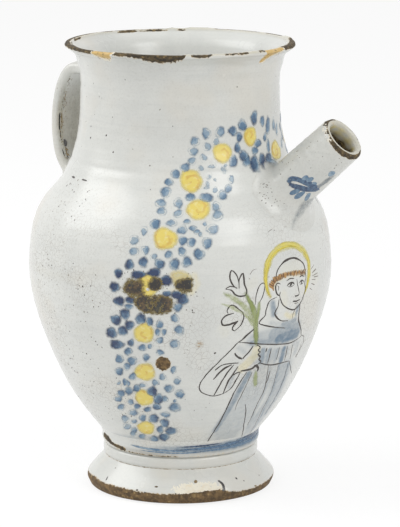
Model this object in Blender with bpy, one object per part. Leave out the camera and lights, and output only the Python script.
"""Tin-glazed earthenware spouted drug jar, built piece by piece.

Metres, +Z up. The origin is the centre of the standing ring, the jar's axis is Z,
the spout points along +X and the strap handle is opposite it, along -X.
"""
import math

import bmesh
import bpy
from mathutils import Matrix, Vector

MM = 0.001

# Clearance left between neighbouring clay pieces, and the blunt edge of every luting fillet.
GAP = 0.3 * MM
LUTE_EDGE = 0.6 * MM

# Spreading foot: a thrown ring, open through the middle.
FOOT_BASE_R = 44.8 * MM
FOOT_SPREAD_R = 46.6 * MM
FOOT_SPREAD_Z = 3.6 * MM
FOOT_SLOPE_R = 42.7 * MM
FOOT_SLOPE_Z = 9.6 * MM
FOOT_WAIST_R = 38.0 * MM
FOOT_WAIST_Z = 14.6 * MM
FOOT_GROOVE_DEPTH = 0.5 * MM
FOOT_GROOVE_HALF = 0.7 * MM
FOOT_COLLAR_R = 38.2 * MM
FOOT_COLLAR_BEVEL_R = 1.0 * MM
FOOT_COLLAR_BEVEL_Z = 1.4 * MM
FOOT_HEIGHT = 21.0 * MM
FOOT_RECESS_BASE_R = 35.0 * MM
FOOT_RECESS_BEND_R = 32.0 * MM
FOOT_RECESS_BEND_Z = 6.3 * MM
FOOT_RECESS_TOP_R = 29.0 * MM
FOOT_RECESS_TOP_Z = 12.6 * MM

# Lower half of the thrown body: radius of each station and its height.
BASE_R = 33.5 * MM
HEEL_R = 37.2 * MM
HEEL_Z = 26.0 * MM
LOWER_R = 49.6 * MM
LOWER_Z = 42.0 * MM
MID_R = 64.3 * MM
MID_Z = 70.0 * MM
BELLY_R = 74.0 * MM
BELLY_Z = 115.0 * MM

# Upper half: radius of each station and how far it lies below the rim, so that a taller
# jar lifts its shoulder, neck, spout and handle together.
HEIGHT = 220.0 * MM
SHOULDER_R = 67.3 * MM
SHOULDER_DROP = 78.0 * MM
SLOPE_R = 57.3 * MM
SLOPE_DROP = 65.5 * MM
NECK_ROOT_R = 51.4 * MM
NECK_ROOT_DROP = 51.0 * MM
NECK_R = 48.5 * MM
NECK_DROP = 28.0 * MM
FLARE_R = 49.7 * MM
FLARE_DROP = 10.5 * MM
LIP_UNDER_R = 52.6 * MM
LIP_UNDER_DROP = 4.4 * MM
RIM_UNDER_R = 55.7 * MM
RIM_R = 56.2 * MM
RIM_EDGE = 1.3 * MM

# Inside of the body. Its rows are further apart than the outside's, as little of it shows.
WALL = 5.0 * MM
RIM_INSIDE_R = 51.6 * MM
INSIDE_ROW = 5.0 * MM
FLOOR_Z = 28.5 * MM
FLOOR_ROUND_R = 14.4 * MM
FLOOR_ROUND_Z = 9.0 * MM

# Ring of clay that seals the body to the foot and shows as a bead.
BEAD_BASE_R = 38.1 * MM
BEAD_R = 38.8 * MM
BEAD_Z = 23.4 * MM
BEAD_CROWN_R = 38.9 * MM
BEAD_CROWN_Z = 27.0 * MM
BEAD_TOP_Z = 30.5 * MM

# Thrown spout, leaning out of the shoulder.
SPOUT_DROP = 68.5 * MM
SPOUT_RISE = math.radians(41.4)
SPOUT_LENGTH = 43.2 * MM
SPOUT_TAIL = 9.0 * MM
SPOUT_ROOT_R = 12.1 * MM
SPOUT_MOUTH_R = 11.6 * MM
SPOUT_BORE_ROOT_R = 7.2 * MM
SPOUT_BORE_MOUTH_R = 8.2 * MM
SPOUT_LIP = 1.1 * MM
SPOUT_HOLE_R = 6.6 * MM
SPOUT_HOLE_DEPTH = 40.0 * MM
SPOUT_LUTE_UP = 7.0 * MM
SPOUT_LUTE_OUT = 7.5 * MM

# Pulled strap handle from the neck to the shoulder.
HANDLE_TOP_DROP = 16.4 * MM
HANDLE_BOTTOM_DROP = 70.0 * MM
HANDLE_RISE = math.radians(58)
HANDLE_LEAD = 7.0 * MM
HANDLE_TOP_PULL = 12.4 * MM
HANDLE_BOTTOM_PULL = 13.0 * MM
HANDLE_TOP_WIDTH = 22.0 * MM
HANDLE_BOTTOM_WIDTH = 19.0 * MM
HANDLE_THICK = 5.6 * MM
HANDLE_EDGE = 2.2 * MM
HANDLE_LUTE_UP = 4.0 * MM
HANDLE_LUTE_OUT = 4.0 * MM

# Facets: round the jar, round the spout, points round a strap corner and along its face.
TURNS = 52
SPOUT_TURNS = 32
CORNER = 5
FACE = 4


def clear_scene():
    for old in list(bpy.data.objects):
        bpy.data.objects.remove(old, do_unlink=True)


def material(name, colour, roughness):
    mat = bpy.data.materials.new(name)
    mat.use_nodes = True
    shader = mat.node_tree.nodes["Principled BSDF"]
    shader.inputs["Base Color"].default_value = (*colour, 1.0)
    shader.inputs["Roughness"].default_value = roughness
    shader.inputs["Metallic"].default_value = 0.0
    return mat


def add_object(name, bm, mat):
    """Turn a finished bmesh into a named, smooth-shaded object."""
    bmesh.ops.recalc_face_normals(bm, faces=bm.faces)
    mesh = bpy.data.meshes.new(name)
    bm.to_mesh(mesh)
    bm.free()
    mesh.materials.append(mat)
    mesh.shade_smooth()
    mesh.set_sharp_from_angle(angle=math.radians(40))
    obj = bpy.data.objects.new(name, mesh)
    bpy.context.scene.collection.objects.link(obj)
    return obj


def spin_outline(outline, closed):
    """Throw an outline of (radius, height) points once round the jar's axis."""
    bm = bmesh.new()
    verts = [bm.verts.new((r, 0.0, z)) for r, z in outline]
    edges = [bm.edges.new(pair) for pair in zip(verts, verts[1:])]
    if closed:
        edges.append(bm.edges.new((verts[-1], verts[0])))
    bmesh.ops.spin(bm, geom=verts + edges, cent=(0, 0, 0), axis=(0, 0, 1),
                   dvec=(0, 0, 0), angle=2 * math.pi, steps=TURNS, use_duplicate=False)
    bmesh.ops.remove_doubles(bm, verts=bm.verts, dist=1e-6)
    return bm


def loop_rows(rows):
    """Skin rows of points into a closed ring: round each row and from last row to first."""
    bm = bmesh.new()
    grid = [[bm.verts.new(p) for p in row] for row in rows]
    for row, above in zip(grid, grid[1:] + grid[:1]):
        for k in range(len(row)):
            n = (k + 1) % len(row)
            bm.faces.new((row[k], row[n], above[n], above[k]))
    return bm


def curve_through(stations):
    """Smooth function of height through (radius, height) stations, with its slope."""
    zs = [z for _, z in stations]
    rs = [r for r, _ in stations]
    step = [b - a for a, b in zip(zs, zs[1:])]
    rate = [(b - a) / h for a, b, h in zip(rs, rs[1:], step)]
    tilt = [rate[0]]
    for i in range(1, len(step)):
        tilt.append((step[i - 1] * rate[i] + step[i] * rate[i - 1]) / (step[i - 1] + step[i]))
    tilt.append(rate[-1])

    def radius(z):
        i = max(0, min(len(step) - 1, sum(z >= s for s in zs[1:-1])))
        t = (z - zs[i]) / step[i]
        if t < 0:
            return rs[0] + tilt[0] * (z - zs[0])
        if t > 1:
            return rs[-1] + tilt[-1] * (z - zs[-1])
        a = (1 + 2 * t) * (1 - t) ** 2
        b = t * (1 - t) ** 2
        c = t * t * (3 - 2 * t)
        d = t * t * (t - 1)
        return a * rs[i] + b * step[i] * tilt[i] + c * rs[i + 1] + d * step[i] * tilt[i + 1]

    return radius


body_base_z = FOOT_HEIGHT + GAP
neck_root_z = HEIGHT - NECK_ROOT_DROP
flare_z = HEIGHT - FLARE_DROP
lip_under_z = HEIGHT - LIP_UNDER_DROP
rim_under_z = HEIGHT - 2 * RIM_EDGE
body_radius = curve_through([
    (BASE_R, body_base_z),
    (HEEL_R, HEEL_Z),
    (LOWER_R, LOWER_Z),
    (MID_R, MID_Z),
    (BELLY_R, BELLY_Z),
    (SHOULDER_R, HEIGHT - SHOULDER_DROP),
    (SLOPE_R, HEIGHT - SLOPE_DROP),
    (NECK_ROOT_R, neck_root_z),
    (NECK_R, HEIGHT - NECK_DROP),
    (FLARE_R, flare_z),
    (LIP_UNDER_R, lip_under_z),
    (RIM_UNDER_R, rim_under_z),
])


def body_slope(z):
    return (body_radius(z + 0.05 * MM) - body_radius(z - 0.05 * MM)) / (0.1 * MM)


def body_wall():
    """The outside of the body as the thrown outline has it: (radius, height) bottom to top."""
    zs = []
    stops = [(body_base_z, HEEL_Z, 2), (HEEL_Z, LOWER_Z, 3), (LOWER_Z, BELLY_Z, 7),
             (BELLY_Z, neck_root_z, 10), (neck_root_z, flare_z, 7), (flare_z, rim_under_z, 5)]
    for low, high, count in stops:
        zs += [low + (high - low) * i / count for i in range(count)]
    zs.append(rim_under_z)
    return [(body_radius(z), z) for z in zs]


wall = body_wall()


def above_body(point):
    """Distance of a point outside the body's wall, measured square to it."""
    i = max(1, min(len(wall) - 1, sum(point.z >= z for _, z in wall)))
    (low_r, low_z), (high_r, high_z) = wall[i - 1], wall[i]
    tilt = (high_r - low_r) / (high_z - low_z)
    radius = low_r + tilt * (point.z - low_z)
    return (math.hypot(point.x, point.y) - radius) / math.hypot(1, tilt)


def meet_body(point, toward):
    """Slide a point along a line, short of the axis, until it is one clearance off the body."""
    near, far = 0.0, math.hypot(point.x, point.y)
    for _ in range(50):
        mid = 0.5 * (near + far)
        if above_body(point + toward * mid) > GAP:
            near = mid
        else:
            far = mid
    return point + toward * near


def body_outline():
    rim = []
    for i in range(1, 6):
        a = math.radians(-90 + 180 * i / 6)
        rim.append((RIM_R - RIM_EDGE * (1 - math.cos(a)), HEIGHT - RIM_EDGE * (1 - math.sin(a))))
    rim.append((RIM_INSIDE_R + WALL / 2, HEIGHT))
    inner = [(RIM_INSIDE_R, HEIGHT - RIM_EDGE)]
    for _, z in reversed(wall):
        tilt = body_slope(z)
        size = math.hypot(1, tilt)
        r = body_radius(z) - WALL / size
        h = z + WALL * tilt / size
        if FLOOR_Z + FLOOR_ROUND_Z < h < lip_under_z and h < inner[-1][1] - INSIDE_ROW:
            inner.append((r, h))
    last_r, last_h = inner[-1]
    for i in range(1, 5):
        a = math.radians(90 * i / 5)
        inner.append((last_r - FLOOR_ROUND_R * (1 - math.cos(a)),
                      last_h - (last_h - FLOOR_Z) * math.sin(a)))
    inner.append((0.0, FLOOR_Z))
    return [(0.0, body_base_z)] + wall + rim + inner


def foot_outline():
    flare = curve_through([
        (FOOT_BASE_R, 0.0),
        (FOOT_SPREAD_R, FOOT_SPREAD_Z),
        (FOOT_SLOPE_R, FOOT_SLOPE_Z),
        (FOOT_WAIST_R, FOOT_WAIST_Z),
    ])
    steps = 11
    outside = [(flare(FOOT_WAIST_Z * i / steps), FOOT_WAIST_Z * i / steps)
               for i in range(steps + 1)]
    outside += [
        (FOOT_WAIST_R - FOOT_GROOVE_DEPTH, FOOT_WAIST_Z + FOOT_GROOVE_HALF),
        (FOOT_WAIST_R, FOOT_WAIST_Z + 2 * FOOT_GROOVE_HALF),
        (FOOT_COLLAR_R, 0.5 * (FOOT_WAIST_Z + FOOT_HEIGHT)),
        (FOOT_COLLAR_R, FOOT_HEIGHT - FOOT_COLLAR_BEVEL_Z),
        (FOOT_COLLAR_R - FOOT_COLLAR_BEVEL_R, FOOT_HEIGHT),
    ]
    inside = [
        (FOOT_RECESS_TOP_R, FOOT_HEIGHT),
        (FOOT_RECESS_TOP_R, FOOT_RECESS_TOP_Z),
        (FOOT_RECESS_BEND_R, FOOT_RECESS_BEND_Z),
        (FOOT_RECESS_BASE_R, 0.0),
    ]
    return outside + inside


def bead_outline():
    zs = [body_base_z + (BEAD_TOP_Z - body_base_z) * i / 5 for i in range(6)]
    inside = []
    for z in zs:
        stand = GAP * math.hypot(1, body_slope(z))
        inside.append((body_radius(z) + stand, z))
    top_r = inside[-1][0] + LUTE_EDGE
    swell = curve_through([
        (BEAD_BASE_R, body_base_z),
        (BEAD_R, BEAD_Z),
        (BEAD_CROWN_R, BEAD_CROWN_Z),
        (top_r, BEAD_TOP_Z),
    ])
    outside = [(swell(z), z) for z in zs]
    return inside + outside[::-1]


def luting(place, outline, leg_up, leg_out, toward):
    """Smoothed clay round a joint, laid on the body along the direction `toward`.

    outline(e) gives the joined piece's outline grown outward by e, and place puts a point
    of it in the jar. The clay stands leg_up high at the piece and runs leg_out from it.
    """
    across = 6
    under = []
    over = []
    for i in range(across + 1):
        u = i / across
        ring = [meet_body(place(p), toward) for p in outline(GAP + leg_out * u)]
        rise = LUTE_EDGE + (leg_up - LUTE_EDGE) * (1 - u) ** 2.2
        under.append(ring)
        over.append([p - toward * rise for p in ring])
    return loop_rows(under + over[::-1])


def spout_frame():
    """Mouth centre, the direction down the spout, and the two square directions."""
    down = Vector((-math.cos(SPOUT_RISE), 0.0, -math.sin(SPOUT_RISE)))
    root_z = HEIGHT - SPOUT_DROP
    root = Vector((body_radius(root_z), 0.0, root_z))
    side = Vector((0.0, 1.0, 0.0))
    return root - down * SPOUT_LENGTH, down, side, down.cross(side)


def circle(radius):
    turns = [2 * math.pi * k / SPOUT_TURNS for k in range(SPOUT_TURNS)]
    return [(radius * math.cos(a), radius * math.sin(a)) for a in turns]


def spout_mesh():
    mouth, down, side, up = spout_frame()

    def ring(radius, depth):
        return [mouth + down * depth + side * a + up * b for a, b in circle(radius)]

    rows = [[meet_body(p, down) for p in ring(SPOUT_ROOT_R, 0.0)]]
    tail = SPOUT_LENGTH - SPOUT_TAIL
    for i in range(4):
        depth = tail * (1 - i / 4)
        rows.append(ring(SPOUT_MOUTH_R + (SPOUT_ROOT_R - SPOUT_MOUTH_R) * depth / tail, depth))
    for i in range(4):
        a = math.radians(90 * i / 3)
        rows.append(ring(SPOUT_MOUTH_R - SPOUT_LIP * (1 - math.cos(a)),
                         SPOUT_LIP * (1 - math.sin(a))))
    for i in range(4):
        a = math.radians(90 * i / 3)
        rows.append(ring(SPOUT_BORE_MOUTH_R + SPOUT_LIP * (1 - math.sin(a)),
                         SPOUT_LIP * (1 - math.cos(a))))
    rows.append(ring(0.5 * (SPOUT_BORE_MOUTH_R + SPOUT_BORE_ROOT_R), 0.5 * tail))
    rows.append([meet_body(p, down) for p in ring(SPOUT_BORE_ROOT_R, 0.0)])
    return loop_rows(rows)


def strap_outline(width, grow=0.0):
    """Rounded strap section: (across, outward) points, round its corners and along its faces."""
    half_w = width / 2
    half_t = HANDLE_THICK / 2
    flat = half_w - HANDLE_EDGE
    body = half_t - HANDLE_EDGE
    reach = HANDLE_EDGE + grow
    points = []
    for sx, sy, start in ((1, 1, 90), (1, -1, 0), (-1, -1, -90), (-1, 1, 180)):
        corner = []
        for i in range(CORNER):
            a = math.radians(start - 90 * i / (CORNER - 1))
            corner.append((sx * flat + reach * math.cos(a), sy * body + reach * math.sin(a)))
        points += corner
        if sy * sx > 0:
            continue
        end = -sx * flat
        for i in range(1, FACE + 1):
            points.append((sx * flat + (end - sx * flat) * i / (FACE + 1), corner[-1][1]))
    return points


def handle_ends():
    top_z = HEIGHT - HANDLE_TOP_DROP
    bottom_z = HEIGHT - HANDLE_BOTTOM_DROP
    top = Vector((-body_radius(top_z), 0.0, top_z))
    bottom = Vector((-body_radius(bottom_z), 0.0, bottom_z))
    leave_top = Vector((-1.0, 0.0, 0.0))
    leave_bottom = Vector((-math.cos(HANDLE_RISE), 0.0, math.sin(HANDLE_RISE)))
    return top, leave_top, bottom, leave_bottom


def strap_place(centre, along):
    """Map a strap outline point to the jar: across is Y, outward is square to the strap."""
    across = Vector((0.0, 1.0, 0.0))
    outward = across.cross(along)
    return lambda p: centre + across * p[0] + outward * p[1]


def handle_mesh():
    top, leave_top, bottom, leave_bottom = handle_ends()
    p0 = bottom + leave_bottom * HANDLE_LEAD
    p1 = p0 + leave_bottom * HANDLE_BOTTOM_PULL
    p3 = top + leave_top * HANDLE_LEAD
    p2 = p3 + leave_top * HANDLE_TOP_PULL
    steps = 16
    rows = []
    low = strap_place(p0, leave_bottom)
    rows.append([meet_body(low(p), -leave_bottom) for p in strap_outline(HANDLE_BOTTOM_WIDTH)])
    for i in range(steps + 1):
        t = i / steps
        s = 1 - t
        centre = p0 * s ** 3 + p1 * 3 * s * s * t + p2 * 3 * s * t * t + p3 * t ** 3
        along = (p1 - p0) * s * s + (p2 - p1) * 2 * s * t + (p3 - p2) * t * t
        width = HANDLE_BOTTOM_WIDTH * s + HANDLE_TOP_WIDTH * t
        place = strap_place(centre, along.normalized())
        rows.append([place(p) for p in strap_outline(width)])
    high = strap_place(p3, -leave_top)
    rows.append([meet_body(high(p), -leave_top) for p in strap_outline(HANDLE_TOP_WIDTH)])
    bm = bmesh.new()
    grid = [[bm.verts.new(p) for p in row] for row in rows]
    count = len(grid[0])
    for row, above in zip(grid, grid[1:]):
        for k in range(count):
            n = (k + 1) % count
            bm.faces.new((row[k], row[n], above[n], above[k]))
    cap_strap(bm, grid[0], -leave_bottom)
    cap_strap(bm, grid[-1], -leave_top)
    return bm


def cap_strap(bm, row, toward):
    """Close a strap end with strips from its outer face to its inner face, bent at the middle."""
    count = len(row)
    strips = count // 2 - 1
    middle = []
    for i in range(1, strips):
        half = (row[(CORNER - 1 - i) % count].co + row[(CORNER + i) % count].co) / 2
        middle.append(bm.verts.new(meet_body(half - toward * HANDLE_THICK, toward)))
    for i in range(strips):
        outer = [row[(CORNER - 1 - i) % count], row[(CORNER - 2 - i) % count]]
        inner = [row[(CORNER + 1 + i) % count], row[(CORNER + i) % count]]
        here = middle[i - 1:i]
        after = middle[i:i + 1]
        if here and after:
            bm.faces.new(outer + after + here)
            bm.faces.new(here + after + inner)
        else:
            bm.faces.new(outer + after + inner + here)


def main():
    clear_scene()
    glaze = (0.80, 0.81, 0.80)
    body = add_object("body", spin_outline(body_outline(), False),
                      material("body_glaze", glaze, 0.18))
    mouth, down, side, up = spout_frame()
    bm = bmesh.new()
    bmesh.ops.create_cone(bm, cap_ends=True, segments=SPOUT_TURNS, radius1=SPOUT_HOLE_R,
                          radius2=SPOUT_HOLE_R, depth=SPOUT_HOLE_DEPTH)
    turn = Matrix((side, up, -down)).transposed().to_4x4()
    bmesh.ops.transform(bm, matrix=Matrix.Translation(mouth + down * SPOUT_LENGTH) @ turn,
                        verts=bm.verts)
    cutter = add_object("spout_hole_cutter", bm, material("cutter_grey", (0.5, 0.5, 0.5), 0.5))
    cutter.hide_render = True
    cutter.display_type = "WIRE"
    hole = body.modifiers.new("spout_hole", "BOOLEAN")
    hole.operation = "DIFFERENCE"
    hole.solver = "EXACT"
    hole.object = cutter

    add_object("foot", spin_outline(foot_outline(), True), material("foot_glaze", glaze, 0.2))
    add_object("foot_luting", spin_outline(bead_outline(), True),
               material("foot_luting_glaze", (0.72, 0.76, 0.80), 0.2))
    add_object("spout", spout_mesh(), material("spout_glaze", glaze, 0.18))
    add_object("handle", handle_mesh(), material("handle_glaze", glaze, 0.2))

    def from_spout(p):
        return mouth + side * p[0] + up * p[1]

    add_object("spout_luting",
               luting(from_spout, lambda e: circle(SPOUT_ROOT_R + e),
                      SPOUT_LUTE_UP, SPOUT_LUTE_OUT, down),
               material("spout_luting_glaze", glaze, 0.2))
    top, leave_top, bottom, leave_bottom = handle_ends()
    add_object("handle_upper_luting",
               luting(strap_place(top + leave_top * 2 * HANDLE_LEAD, -leave_top),
                      lambda e: strap_outline(HANDLE_TOP_WIDTH, e),
                      HANDLE_LUTE_UP, HANDLE_LUTE_OUT, -leave_top),
               material("handle_upper_glaze", glaze, 0.2))
    add_object("handle_lower_luting",
               luting(strap_place(bottom + leave_bottom * 2 * HANDLE_LEAD, leave_bottom),
                      lambda e: strap_outline(HANDLE_BOTTOM_WIDTH, e),
                      HANDLE_LUTE_UP, HANDLE_LUTE_OUT, -leave_bottom),
               material("handle_lower_glaze", glaze, 0.2))


main()
